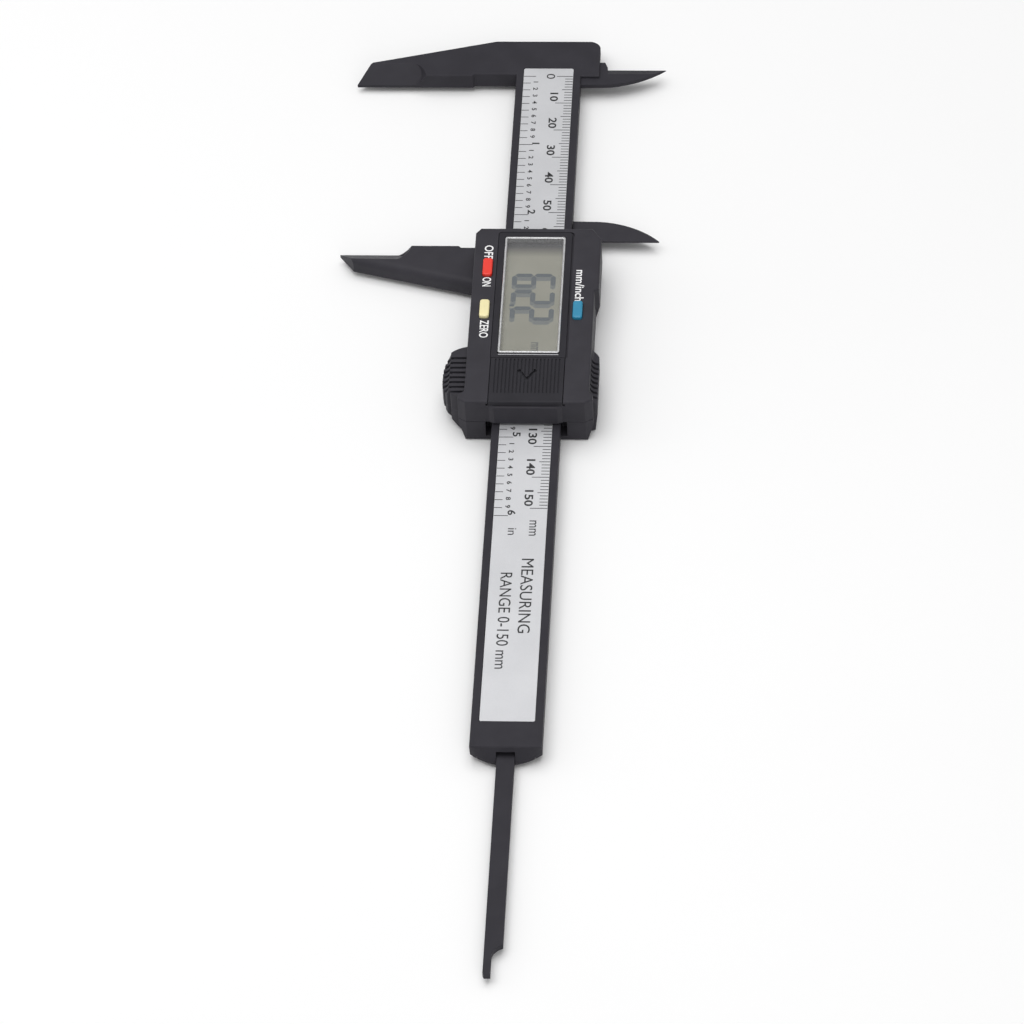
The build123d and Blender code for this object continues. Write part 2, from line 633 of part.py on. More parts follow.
lip_height = 1.3
groove_width = 0.34
groove_length = 11.4
groove_depth = 0.3
arrow_tip_y = -22.3
arrow_stroke = 0.75
arrow_depth = 0.65
with BuildPart() as battery_cover:
    with BuildSketch(Plane.XY.offset(flange_top_z)):
        with Locations((0, (lid_front_y - slide_gap + rear_y) / 2)):
            Rectangle(lid_width, lid_front_y - slide_gap - rear_y)
    extrude(amount=top_z - flange_top_z)
    with Locations((0, rear_y + 0.25, top_z - lip_height / 2)):
        Box(lid_width, 0.5, lip_height)
    rear_edge = battery_cover.edges().filter_by(Axis.X).group_by(Axis.Z)[-1].sort_by(Axis.Y)[:1]
    fillet(rear_edge, radius=0.4)
    with BuildSketch(Plane.XY.offset(flange_bottom_z)):
        with Locations((0, (lid_front_y - slide_gap + cavity_rear_y) / 2)):
            Rectangle(lid_width + 2 * lid_flange, lid_front_y - slide_gap - cavity_rear_y)
    extrude(amount=flange_top_z - flange_bottom_z)
    # finger grooves along Y, and an arrow that points the way the cover slides
    with BuildSketch(Plane.XY.offset(top_z)):
        with Locations((0, lid_front_y - groove_length / 2 - 0.4)):
            with GridLocations(lid_groove_pitch, 1, lid_groove_count, 1):
                Rectangle(groove_width, groove_length)
    extrude(amount=-groove_depth, mode=Mode.SUBTRACT)
    with BuildSketch(Plane.XY.offset(top_z)):
        for side in (-1, 1):
            with Locations(Location((side * 1.0, arrow_tip_y + 1.6, 0), (0, 0, side * -32))):
                Rectangle(arrow_stroke, 4.0)
    extrude(amount=-arrow_depth, mode=Mode.SUBTRACT)
battery_cover.part.label = "battery_cover"
export_step(battery_cover.part, "parts/battery_cover.step")

# ---------------------------------------------------------------- buttons
button_flange_z = ceiling_z - 0.1
flange_thickness = 0.7


def push_button(place):
    """A rounded key with a retaining flange under the cover."""
    with BuildPart() as key:
        with BuildSketch(Plane.XY.offset(button_flange_z - flange_thickness)):
            with Locations(place):
                RectangleRounded(button_width + 1.0, button_length + 1.0, 1.1)
        extrude(amount=flange_thickness)
        with BuildSketch(Plane.XY.offset(button_flange_z)):
            with Locations(place):
                RectangleRounded(button_width, button_length, 0.7)
        extrude(amount=top_z + button_proud - button_flange_z)
        fillet(key.edges().group_by(Axis.Z)[-1], radius=0.35)
    return key


power_button = push_button(button_places["power"])
power_button.part.label = "power_button"
export_step(power_button.part, "parts/power_button.step")

zero_button = push_button(button_places["zero"])
zero_button.part.label = "zero_button"
export_step(zero_button.part, "parts/zero_button.step")

unit_button = push_button(button_places["unit"])
unit_button.part.label = "unit_button"
export_step(unit_button.part, "parts/unit_button.step")

pad_top_z = button_flange_z - flange_thickness - button_travel - 0.1
with BuildPart() as button_pads:
    with BuildSketch(Plane.XY.offset(board_top_z)):
        with Locations(*button_places.values()):
            RectangleRounded(2.6, 5.4, 0.9)
    extrude(amount=pad_top_z - board_top_z, taper=6)
button_pads.part.label = "button_pads"
export_step(button_pads.part, "parts/button_pads.step")

# ---------------------------------------------------------------- depth rod and small hardware
rod_tip_y = zero_y - rod_reach
notch_length = 8.2
blade_x = -0.35              # right edge of the narrow tip
with BuildPart() as depth_rod:
    with BuildSketch(Plane.XY.offset(beam_back_z)):
        with BuildLine():
            Polyline((blade_x, rod_tip_y + 5.4), (blade_x, rod_tip_y), (-rod_width / 2 + 0.3, rod_tip_y),
                     (-rod_width / 2, rod_tip_y + 0.5), (-rod_width / 2, rod_root_y),
                     (rod_width / 2, rod_root_y), (rod_width / 2, rod_tip_y + notch_length))
            ThreePointArc((rod_width / 2, rod_tip_y + notch_length), (0.55, rod_tip_y + 7.3),
                          (blade_x, rod_tip_y + 5.4))
        make_face()
    extrude(amount=rod_thickness)
    # foot that rests on the slider's back wall and takes the screw
    with Locations((0, rod_screw_y, beam_back_z - slide_gap / 2)):
        Box(rod_width, 7.0, slide_gap)
    with BuildSketch(Plane.XY.offset(back_wall)):
        with Locations((0, rod_screw_y)):
            Circle(0.72)
    extrude(amount=1.3, mode=Mode.SUBTRACT)
depth_rod.part.label = "depth_rod"
export_step(depth_rod.part, "parts/depth_rod.step")

with BuildPart() as rod_screw:
    with BuildSketch(Plane.XY.offset(0.15)):
        with Locations((0, rod_screw_y)):
            Circle(1.3)
    extrude(amount=0.6, taper=44)
    with BuildSketch(Plane.XY.offset(0.6)):
        with Locations((0, rod_screw_y)):
            Circle(0.7)
    extrude(amount=2.0)
    with Locations((0, rod_screw_y, 0.25)):
        Box(1.8, 0.35, 0.4, mode=Mode.SUBTRACT)
        Box(0.35, 1.8, 0.4, mode=Mode.SUBTRACT)
rod_screw.part.label = "rod_screw"
export_step(rod_screw.part, "parts/rod_screw.step")

with BuildPart() as housing_screws:
    with BuildSketch(Plane.XY.offset(0.35)):
        with GridLocations(screw_spacing_x, screw_spacing_y, 2, 2):
            Circle(1.7)
    extrude(amount=1.25)
    with BuildSketch(Plane.XY.offset(1.6)):
        with GridLocations(screw_spacing_x, screw_spacing_y, 2, 2):
            Circle(screw_radius)
    extrude(amount=8.8)
    with GridLocations(screw_spacing_x, screw_spacing_y, 2, 2):
        with Locations((0, 0, 0.5)):
            Box(2.2, 0.45, 1.0, mode=Mode.SUBTRACT)
            Box(0.45, 2.2, 1.0, mode=Mode.SUBTRACT)
housing_screws.part.label = "housing_screws"
export_step(housing_screws.part, "parts/housing_screws.step")

gib_thickness = 0.2
gib_height = 2.8
with BuildPart() as gib_spring:
    gib_x = -beam_width / 2 - slide_gap
    with BuildSketch(Plane.XY.offset(beam_back_z + 0.5)):
        with BuildLine():
            bow = ThreePointArc((gib_x - 0.9, -gib_length / 2), (gib_x - gib_thickness, 0),
                                (gib_x - 0.9, gib_length / 2))
            offset(bow, amount=gib_thickness / 2)
        make_face()
    extrude(amount=gib_height)
gib_spring.part.label = "gib_spring"
export_step(gib_spring.part, "parts/gib_spring.step")
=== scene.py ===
import json
import math
from collections import namedtuple

import bmesh
import bpy
from mathutils import Matrix, Vector


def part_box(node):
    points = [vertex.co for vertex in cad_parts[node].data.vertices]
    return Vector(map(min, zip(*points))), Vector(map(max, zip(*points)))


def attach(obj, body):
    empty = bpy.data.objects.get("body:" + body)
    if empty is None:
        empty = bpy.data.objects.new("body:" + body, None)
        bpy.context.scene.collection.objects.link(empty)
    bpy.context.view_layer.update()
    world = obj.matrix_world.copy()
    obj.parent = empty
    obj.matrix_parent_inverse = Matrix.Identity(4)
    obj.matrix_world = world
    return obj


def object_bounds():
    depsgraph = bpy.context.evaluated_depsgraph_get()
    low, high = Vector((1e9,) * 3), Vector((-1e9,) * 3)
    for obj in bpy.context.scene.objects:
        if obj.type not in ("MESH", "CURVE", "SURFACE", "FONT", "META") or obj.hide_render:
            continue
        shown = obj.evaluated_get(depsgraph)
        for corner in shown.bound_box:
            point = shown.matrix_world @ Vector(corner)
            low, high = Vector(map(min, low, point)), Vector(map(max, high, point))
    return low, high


# A digital caliper for looks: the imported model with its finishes, the printed scales, the
# lettering of the slider and the figures of the display. Metres, in the frame of the model.

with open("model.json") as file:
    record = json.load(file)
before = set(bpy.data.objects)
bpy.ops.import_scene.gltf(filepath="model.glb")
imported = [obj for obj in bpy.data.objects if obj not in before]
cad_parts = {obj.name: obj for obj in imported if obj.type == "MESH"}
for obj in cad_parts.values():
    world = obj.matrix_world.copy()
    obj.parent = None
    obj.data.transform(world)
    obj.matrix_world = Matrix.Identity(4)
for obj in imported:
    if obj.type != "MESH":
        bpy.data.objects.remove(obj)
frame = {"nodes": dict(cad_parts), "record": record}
cad_low, cad_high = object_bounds()

MM = 0.001
INCH = 25.4 * MM
scene = bpy.context.scene
mounts = {m["name"]: Vector(m["pos_m"]) for m in frame["record"]["mounts"]}
zero_y = mounts["fixed_outside_face"].y      # the scales count from the fixed measuring face


# ---------------------------------------------------------------- camera, floor and light
def make_camera():
    """A long lens from in front and above, rolled a little."""
    azimuth, elevation, roll = math.radians(4.873), math.radians(45.683), math.radians(-3.027)
    target = Vector((-1.93, -58.63, 5.5)) * MM
    distance = 1209.6 * MM
    back = Vector((math.sin(azimuth) * math.cos(elevation),
                   -math.cos(azimuth) * math.cos(elevation),
                   math.sin(elevation)))
    level = Vector((math.cos(azimuth), math.sin(azimuth), 0))
    rise = back.cross(level)
    right = math.cos(roll) * level + math.sin(roll) * rise
    up = -math.sin(roll) * level + math.cos(roll) * rise
    data = bpy.data.cameras.new("camera")
    data.lens, data.sensor_width = 185.9, 36     # millimetres
    data.clip_start, data.clip_end = 0.05, 20
    camera = bpy.data.objects.new("camera", data)
    turn = Matrix((right, up, back)).transposed().to_4x4()
    camera.matrix_world = Matrix.Translation(target + back * distance) @ turn
    scene.collection.objects.link(camera)
    scene.camera = camera


def make_floor():
    """A wide pale floor under the caliper's lowest face."""
    reach = 4.0
    low = cad_low.z
    corners = [(-reach, -reach, low), (reach, -reach, low), (reach, reach, low), (-reach, reach, low)]
    mesh = bpy.data.meshes.new("floor")
    mesh.from_pydata(corners, [], [(0, 1, 2, 3)])
    floor = bpy.data.objects.new("floor", mesh)
    scene.collection.objects.link(floor)
    floor.data.materials.append(floor_finish())


def area_light(name, place, aim, size, power):
    """A rectangular lamp at a place, turned towards the point that it aims at."""
    data = bpy.data.lights.new(name, "AREA")
    data.shape = "RECTANGLE"
    data.size, data.size_y = size
    data.energy = power
    light = bpy.data.objects.new(name, data)
    light.location = place
    light.rotation_euler = (Vector(aim) - Vector(place)).to_track_quat("-Z", "Y").to_euler()
    scene.collection.objects.link(light)


def make_studio():
    """Even white surroundings, a large soft lamp overhead, and weak ones in front and to the left."""
    surroundings = 0.40
    world = bpy.data.worlds.new("studio")
    world.use_nodes = True
    background = world.node_tree.nodes["Background"]
    background.inputs["Color"].default_value = (1.0, 1.0, 1.0, 1.0)
    background.inputs["Strength"].default_value = surroundings
    scene.world = world
    area_light("overhead", place=(-0.12, 0.02, 0.95), aim=(0, -0.03, 0), size=(1.1, 0.9), power=7.1)
    area_light("front_fill", place=(0.25, -0.95, 0.45), aim=(0, -0.05, 0), size=(0.6, 0.6), power=1.7)
    area_light("left_fill", place=(-0.9, 0.1, 0.5), aim=(0, -0.05, 0), size=(0.5, 0.8), power=0.8)
    scene.view_settings.view_transform = "Standard"


# ---------------------------------------------------------------- building blocks of finishes
# Colour sockets of a Mix node, by number because its other kinds of value share their names.
MIX_FIRST, MIX_SECOND, MIX_RESULT = 6, 7, 2


def blank(name):
    """A new material, with its nodes, its links and its shader."""
    material = bpy.data.materials.new(name)
    material.use_nodes = True
    nodes = material.node_tree.nodes
    return material, nodes, material.node_tree.links, nodes["Principled BSDF"]


def scaled(colour, factor, lift=0.0):
    """The colour made lighter or darker."""
    return tuple(min(1.0, c * factor + lift) for c in colour)


def noise(nodes, links, grain, detail=3.0):
    """Noise whose grain is that size, fixed to the piece."""
    place = nodes.new("ShaderNodeTexCoord")
    texture = nodes.new("ShaderNodeTexNoise")
    texture.inputs["Scale"].default_value = 1.0 / grain
    texture.inputs["Detail"].default_value = detail
    links.new(place.outputs["Object"], texture.inputs["Vector"])
    return texture.outputs["Fac"]


def ramp(nodes, links, factor, low, high, start=0.35, end=0.65):
    """Maps factor from start..end onto low..high."""
    node = nodes.new("ShaderNodeMapRange")
    node.inputs["From Min"].default_value = start
    node.inputs["From Max"].default_value = end
    node.inputs["To Min"].default_value = low
    node.inputs["To Max"].default_value = high
    links.new(factor, node.inputs["Value"])
    return node.outputs["Result"]


def mixed(nodes, links, factor, first, second):
    """A colour between first and second; each is a colour or a socket."""
    node = nodes.new("ShaderNodeMix")
    node.data_type = "RGBA"
    links.new(factor, node.inputs["Factor"])
    for socket, colour in ((node.inputs[MIX_FIRST], first), (node.inputs[MIX_SECOND], second)):
        if isinstance(colour, bpy.types.NodeSocket):
            links.new(colour, socket)
        else:
            socket.default_value = (*colour, 1)
    return node.outputs[MIX_RESULT]


def edge_mask(nodes, links, radius):
    """A normal rounded over sharp edges, and a mask that is 1 along them and 0 on flats.

    The mask comes from how far the rounded normal leans from the true one."""
    edge_cosine, flat_cosine = 0.86, 0.995       # of the lean where the mask is 1, and where it is 0
    bevel = nodes.new("ShaderNodeBevel")
    bevel.samples = 6
    bevel.inputs["Radius"].default_value = radius
    geometry = nodes.new("ShaderNodeNewGeometry")
    dot = nodes.new("ShaderNodeVectorMath")
    dot.operation = "DOT_PRODUCT"
    links.new(bevel.outputs["Normal"], dot.inputs[0])
    links.new(geometry.outputs["Normal"], dot.inputs[1])
    mask = ramp(nodes, links, dot.outputs["Value"], 1.0, 0.0, edge_cosine, flat_cosine)
    return bevel.outputs["Normal"], mask


def bumped(nodes, links, height, depth, strength, normal=None):
    """A normal with relief of that depth, on top of another normal if one is given."""
    node = nodes.new("ShaderNodeBump")
    node.inputs["Strength"].default_value = strength
    node.inputs["Distance"].default_value = depth
    links.new(height, node.inputs["Height"])
    if normal is not None:
        links.new(normal, node.inputs["Normal"])
    return node.outputs["Normal"]


# ---------------------------------------------------------------- finishes
def plastic_finish(name, colour, roughness, grain=0.12 * MM, relief=0.5, edge_highlight_gain=1.9, specular=0.5):
    """Moulded plastic: a spark-eroded grain, faint mottling, and edges painted lighter: a painted
    highlight with a little wear.
    """
    material, nodes, links, shader = blank(name)
    rounded, edges = edge_mask(nodes, links, 0.2 * MM)
    mottle = ramp(nodes, links, noise(nodes, links, 6 * MM), 0.0, 1.0)
    face = mixed(nodes, links, mottle, scaled(colour, 0.93), scaled(colour, 1.06))
    # painted highlight: the colour is lighter along the edges, standing in for the light they catch, with
    # some rubbing wear
    highlit_worn_edge = scaled(colour, edge_highlight_gain, 0.004)
    links.new(mixed(nodes, links, edges, face, highlit_worn_edge), shader.inputs["Base Color"])
    grain_noise = noise(nodes, links, grain, 2.0)
    rough = ramp(nodes, links, grain_noise, roughness - 0.06, roughness + 0.08)
    links.new(rough, shader.inputs["Roughness"])
    links.new(bumped(nodes, links, grain_noise, 0.02 * MM, relief, rounded), shader.inputs["Normal"])
    shader.inputs["Specular IOR Level"].default_value = specular
    return material


def metal_finish(name, colour, roughness):
    """Plated or drawn metal, brushed: its lines are fine across the beam and long along it."""
    brushing = (0.08 * MM, 2.0 * MM, 2.0 * MM)
    material, nodes, links, shader = blank(name)
    place = nodes.new("ShaderNodeTexCoord")
    stretch = nodes.new("ShaderNodeMapping")
    stretch.inputs["Scale"].default_value = tuple(1.0 / s for s in brushing)
    texture = nodes.new("ShaderNodeTexNoise")
    texture.inputs["Scale"].default_value = 1.0
    texture.inputs["Detail"].default_value = 3.0
    links.new(place.outputs["Object"], stretch.inputs["Vector"])
    links.new(stretch.outputs["Vector"], texture.inputs["Vector"])
    lines = texture.outputs["Fac"]
    links.new(mixed(nodes, links, lines, scaled(colour, 0.86), colour), shader.inputs["Base Color"])
    rough = ramp(nodes, links, lines, roughness - 0.07, roughness + 0.07)
    links.new(rough, shader.inputs["Roughness"])
    rounded = edge_mask(nodes, links, 0.1 * MM)[0]
    links.new(bumped(nodes, links, lines, 0.01 * MM, 0.3, rounded), shader.inputs["Normal"])
    shader.inputs["Metallic"].default_value = 1.0
    return material


def label_finish():
    """Metallised printed film: pale silver with a very fine sparkle."""
    dull, bright, sparkle = (0.56, 0.565, 0.585), (0.62, 0.625, 0.645), (0.78, 0.78, 0.8)
    material, nodes, links, shader = blank("silver_film")
    fine = noise(nodes, links, 0.07 * MM, 1.0)
    broad = ramp(nodes, links, noise(nodes, links, 14 * MM), 0.0, 1.0)
    base = mixed(nodes, links, broad, dull, bright)
    flecks = ramp(nodes, links, fine, 0.0, 0.35)
    links.new(mixed(nodes, links, flecks, base, sparkle), shader.inputs["Base Color"])
    links.new(ramp(nodes, links, fine, 0.36, 0.5), shader.inputs["Roughness"])
    links.new(bumped(nodes, links, fine, 0.006 * MM, 0.4), shader.inputs["Normal"])
    shader.inputs["Metallic"].default_value = 0.35
    return material


def ink_finish(name, colour, roughness=0.5):
    """Screen-printed ink, slightly uneven."""
    material, nodes, links, shader = blank(name)
    patch = ramp(nodes, links, noise(nodes, links, 0.25 * MM), 0.0, 1.0)
    thin_ink = scaled(colour, 1.2, 0.006)
    links.new(mixed(nodes, links, patch, colour, thin_ink), shader.inputs["Base Color"])
    rough = ramp(nodes, links, patch, roughness - 0.05, roughness + 0.05, 0.0, 1.0)
    links.new(rough, shader.inputs["Roughness"])
    return material


def lcd_finish():
    """Grey-green display glass, with a painted shadow of the frame: darker and bluer across its end
    nearest the jaws.
    """
    glass_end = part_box("lcd_glass")[1].y
    darker, lighter, painted_shade_colour = (0.228, 0.222, 0.180), (0.252, 0.245, 0.202), (0.031, 0.028, 0.035)
    material, nodes, links, shader = blank("lcd_ground")
    place = nodes.new("ShaderNodeTexCoord")
    split = nodes.new("ShaderNodeSeparateXYZ")
    links.new(place.outputs["Object"], split.inputs["Vector"])
    # painted shadow: the frame's shade on the glass, over the last 6 mm of the end nearest the jaws
    painted_frame_shade = ramp(nodes, links, split.outputs["Y"], 0.0, 1.0, glass_end - 6.0 * MM, glass_end - 2.5 * MM)
    cloud = ramp(nodes, links, noise(nodes, links, 9 * MM), 0.0, 1.0)
    ground = mixed(nodes, links, cloud, darker, lighter)
    links.new(mixed(nodes, links, painted_frame_shade, ground, painted_shade_colour), shader.inputs["Base Color"])
    links.new(ramp(nodes, links, cloud, 0.3, 0.4, 0.0, 1.0), shader.inputs["Roughness"])
    return material


def window_finish():
    """Clear hard-coated plastic: seen through, with a soft gloss on it."""
    material, nodes, links, shader = blank("clear_plastic")
    haze = noise(nodes, links, 3 * MM)
    links.new(ramp(nodes, links, haze, 0.03, 0.08), shader.inputs["Roughness"])
    tint = mixed(nodes, links, haze, (0.80, 0.82, 0.80), (0.86, 0.88, 0.86))
    links.new(tint, shader.inputs["Base Color"])
    shader.inputs["Alpha"].default_value = 0.05
    shader.inputs["IOR"].default_value = 1.49
    return material


def board_finish():
    """Green solder mask with faint tracks under it."""
    material, nodes, links, shader = blank("solder_mask")
    place = nodes.new("ShaderNodeTexCoord")
    tracks = nodes.new("ShaderNodeTexBrick")
    tracks.inputs["Scale"].default_value = 1.0 / (6 * MM)
    tracks.inputs["Mortar Size"].default_value = 0.03
    tracks.inputs["Color1"].default_value = (0.012, 0.085, 0.035, 1)
    tracks.inputs["Color2"].default_value = (0.014, 0.10, 0.04, 1)
    tracks.inputs["Mortar"].default_value = (0.03, 0.19, 0.08, 1)
    links.new(place.outputs["Object"], tracks.inputs["Vector"])
    links.new(tracks.outputs["Color"], shader.inputs["Base Color"])
    links.new(bumped(nodes, links, tracks.outputs["Fac"], 0.03 * MM, 0.4), shader.inputs["Normal"])
    links.new(ramp(nodes, links, noise(nodes, links, 0.6 * MM), 0.25, 0.4), shader.inputs["Roughness"])
    return material


def floor_finish():
    """Matt and nearly white, with broad clouds too faint to notice."""
    material, nodes, links, shader = blank("pale_floor")
    cloud = ramp(nodes, links, noise(nodes, links, 0.3), 0.0, 1.0)
    pale = mixed(nodes, links, cloud, (0.93, 0.93, 0.93), (0.95, 0.95, 0.95))
    links.new(pale, shader.inputs["Base Color"])
    shader.inputs["Roughness"].default_value = 0.9
    shader.inputs["Specular IOR Level"].default_value = 0.1
    return material


def finish_nodes():
    """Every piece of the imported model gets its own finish."""
    bar_plastic = plastic_finish("bar_plastic", (0.0360, 0.0345, 0.0415), 0.5, edge_highlight_gain=1.4, specular=0.1)
    case_plastic = plastic_finish("case_plastic", (0.0405, 0.0388, 0.0462), 0.48, grain=0.16 * MM,
                                  relief=0.6, edge_highlight_gain=1.4, specular=0.12)
    lid_plastic = plastic_finish("lid_plastic", (0.0276, 0.0266, 0.0320), 0.46, edge_highlight_gain=1.4,
                                 specular=0.12)
    plated = metal_finish("plated_trim", (0.86, 0.86, 0.87), 0.32)
    steel = metal_finish("zinc_steel", (0.55, 0.56, 0.58), 0.34)
    spring = metal_finish("spring_strip", (0.62, 0.60, 0.56), 0.28)
    board = board_finish()
    rubber = plastic_finish("grey_rubber", (0.16, 0.16, 0.165), 0.75, relief=0.3)
    finishes = {
        "beam_and_fixed_jaw": bar_plastic, "depth_rod": bar_plastic, "rod_guide_plate": bar_plastic,
        "slider_body": case_plastic, "front_cover": case_plastic,
        "display_bezel": lid_plastic, "battery_cover": lid_plastic,
        "scale_label": label_finish(), "display_frame": plated,
        "display_window": window_finish(), "lcd_glass": lcd_finish(),
        "lcd_holder": plastic_finish("holder_plastic", (0.55, 0.55, 0.52), 0.5),
        "lcd_connector": rubber, "button_pads": rubber,
        "circuit_board": board, "scale_circuit_strip": board,
        "sensor_electrodes": metal_finish("copper", (0.72, 0.40, 0.24), 0.35),
        "controller_chip": plastic_finish("black_epoxy", (0.012, 0.012, 0.013), 0.25),
        "board_components": plastic_finish("ceramic_bodies", (0.32, 0.23, 0.14), 0.4),
        "coin_cell": steel, "rod_screw": steel, "housing_screws": steel,
        "gib_spring": spring, "battery_contact_negative": spring, "battery_contact_positive": spring,
        "power_button": plastic_finish("red_key", (0.78, 0.040, 0.024), 0.36, relief=0.15, edge_highlight_gain=1.1),
        "zero_button": plastic_finish("yellow_key", (0.86, 0.78, 0.44), 0.36, relief=0.15, edge_highlight_gain=1.05),
        "unit_button": plastic_finish("blue_key", (0.026, 0.24, 0.40), 0.36, relief=0.15, edge_highlight_gain=1.2),
    }
    for name, node in frame["nodes"].items():
        node.data.materials.clear()
        node.data.materials.append(finishes[name])


# ---------------------------------------------------------------- thin printed pieces
# A layer is the lowest and highest z of what is printed.
Extent = namedtuple("Extent", "left right foot head")


def ink_layer(surface, thickness=0.02 * MM):
    """A layer of ink on a surface, which starts just inside it."""
    sink = 0.002 * MM
    return surface - sink, surface + thickness


def finish_piece(build, name, material, body):
    """Turns a bmesh into a piece that rides on a body."""
    mesh = bpy.data.meshes.new(name)
    build.normal_update()
    build.to_mesh(mesh)
    build.free()
    piece = bpy.data.objects.new(name, mesh)
    scene.collection.objects.link(piece)
    mesh.materials.append(material)
    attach(piece, body)


def add_prism(build, outline, layer):
    """Adds a closed prism over a flat outline, given anticlockwise."""
    low, high = layer
    bottom = [build.verts.new((x, y, low)) for x, y in outline]
    top = [build.verts.new((x, y, high)) for x, y in outline]
    build.faces.new(list(reversed(bottom)))
    build.faces.new(top)
    count = len(outline)
    for i in range(count):
        j = (i + 1) % count
        build.faces.new((bottom[i], bottom[j], top[j], top[i]))


def add_bar(build, x0, x1, y0, y1, layer):
    """Adds a box over a rectangle."""
    add_prism(build, [(x0, y0), (x1, y0), (x1, y1), (x0, y1)], layer)


def glyph_mesh(text, weight=0.0):
    """Text as a mesh, in units of the font's size, with thickness from -0.5 to 0.5."""
    curve = bpy.data.curves.new("glyphs", "FONT")
    curve.body = text
    curve.extrude = 0.5
    curve.offset = weight
    curve.resolution_u = 4
    holder = bpy.data.objects.new("glyphs", curve)
    scene.collection.objects.link(holder)
    bpy.context.view_layer.update()
    shape = holder.evaluated_get(bpy.context.evaluated_depsgraph_get())
    mesh = bpy.data.meshes.new_from_object(shape)
    bpy.data.objects.remove(holder)
    bpy.data.curves.remove(curve)
    return mesh


def extent(mesh):
    """The edges of a mesh of letters, as they are read."""
    xs = [v.co.x for v in mesh.vertices]
    ys = [v.co.y for v in mesh.vertices]
    return Extent(min(xs), max(xs), min(ys), max(ys))


one_digit = extent(glyph_mesh("0"))
two_digits = extent(glyph_mesh("00"))
DIGIT_HEIGHT = one_digit.head - one_digit.foot
DIGIT_ADVANCE = two_digits.right - one_digit.right


def add_text(build, text, height, base, layer, start=None, middle=None, end=None, advance=None,
             length=None, weight=0.0):
    """Adds lettering that reads towards -Y with its tops towards +X.

    base is the x of the foot of the letters. The line starts, is centred or ends at the y given.
    Its digits are advance apart, or the line is squeezed to length."""
    low, high = layer
    mesh = glyph_mesh(text, weight)
    left, right, foot, head = extent(mesh)
    if length is None:
        stretch = advance / DIGIT_ADVANCE
        rise = height / DIGIT_HEIGHT
        foot = 0.0
    else:
        stretch = length / (right - left)
        rise = height / (head - foot)
    span = (right - left) * stretch
    if start is None:
        start = middle + span / 2 if end is None else end + span
    turn = Matrix(((0, rise, 0, base - foot * rise),
                   (-stretch, 0, 0, start + left * stretch),
                   (0, 0, high - low, (low + high) / 2),
                   (0, 0, 0, 1)))
    mesh.transform(turn)
    build.from_mesh(mesh)
    bpy.data.meshes.remove(mesh)


# ---------------------------------------------------------------- scales on the label
RANGE_MM = 150
RANGE_TENTHS = 60            # tenths of an inch
TICK_WIDTH = 0.19 * MM
NUMERAL_WEIGHT = 0.02        # how much bolder than the font most numbers are


def print_ticks(black, layer):
    """Millimetre ticks on the right edge of the label, and tenths of an inch on the left."""
    low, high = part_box("scale_label")
    edge_gap = 0.05 * MM
    right, left = high.x - edge_gap, low.x + edge_gap

    ten, five, one = 4.0 * MM, 2.5 * MM, 1.9 * MM        # the reach of each kind of tick
    ticks = bmesh.new()
    for i in range(RANGE_MM + 1):
        reach = ten if i % 10 == 0 else five if i % 5 == 0 else one
        y = zero_y - i * MM
        add_bar(ticks, right - reach, right, y - TICK_WIDTH / 2, y + TICK_WIDTH / 2, layer)
    finish_piece(ticks, "millimetre_ticks", black, "beam")

    zero, whole, tenth = 3.0 * MM, 3.3 * MM, 1.8 * MM
    ticks = bmesh.new()
    for i in range(RANGE_TENTHS + 1):
        reach = zero if i == 0 else whole if i % 10 == 0 else tenth
        y = zero_y - i * INCH / 10
        add_bar(ticks, left, left + reach, y - TICK_WIDTH / 2, y + TICK_WIDTH / 2, layer)
    finish_piece(ticks, "inch_ticks", black, "beam")


def print_millimetre_numbers(black, layer):
    """0 beside its tick, then every ten just before its tick, and the unit after the last."""
    numbers = bmesh.new()
    add_text(numbers, "0", height=2.1 * MM, base=-0.4 * MM, layer=layer, middle=zero_y,
             advance=2.1 * MM)
    for i in range(10, RANGE_MM + 1, 10):
        add_text(numbers, str(i), height=1.9 * MM, base=0.78 * MM, layer=layer,
                 end=zero_y - (i - 0.7) * MM, advance=1.95 * MM, weight=NUMERAL_WEIGHT)
    add_text(numbers, "mm", height=1.6 * MM, base=2.2 * MM, layer=layer,
             start=zero_y - 153.9 * MM, length=4.8 * MM)
    finish_piece(numbers, "millimetre_numbers", black, "beam")


def print_inch_numbers(black, layer):
    """Small numbers beside the tenths, larger ones beside the inches, and the unit."""
    numbers = bmesh.new()
    for i in range(RANGE_TENTHS):
        if i % 10:
            add_text(numbers, str(i % 10), height=1.1 * MM, base=-3.55 * MM, layer=layer,
                     middle=zero_y - i * INCH / 10 + 0.4 * MM, advance=1.0 * MM, weight=NUMERAL_WEIGHT)
    for i in range(1, RANGE_TENTHS // 10 + 1):
        add_text(numbers, str(i), height=1.75 * MM, base=-2.9 * MM, layer=layer,
                 end=zero_y - i * INCH + 0.2 * MM, advance=1.7 * MM, weight=NUMERAL_WEIGHT)
    add_text(numbers, "in", height=1.9 * MM, base=-2.6 * MM, layer=layer,
             start=zero_y - 156.4 * MM, length=2.1 * MM)
    finish_piece(numbers, "inch_numbers", black, "beam")


def print_range_note(black, layer):
    """A generic note of the range, in two lines behind the scales."""
    note = bmesh.new()
    add_text(note, "MEASURING", height=2.8 * MM, base=1.0 * MM, layer=layer,
             start=zero_y - 166.0 * MM, length=23.0 * MM)
    add_text(note, "RANGE 0-150 mm", height=2.7 * MM, base=-3.6 * MM, layer=layer,
             start=zero_y - 170.4 * MM, length=29.5 * MM)
    finish_piece(note, "range_lettering", black, "beam")


def print_label():
    """Everything that is printed on the silver label, in one black ink."""
    black = ink_finish("black_ink", (0.012, 0.012, 0.014))
    layer = ink_layer(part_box("scale_label")[1].z)
    print_ticks(black, layer)
    print_millimetre_numbers(black, layer)
    print_inch_numbers(black, layer)
    print_range_note(black, layer)


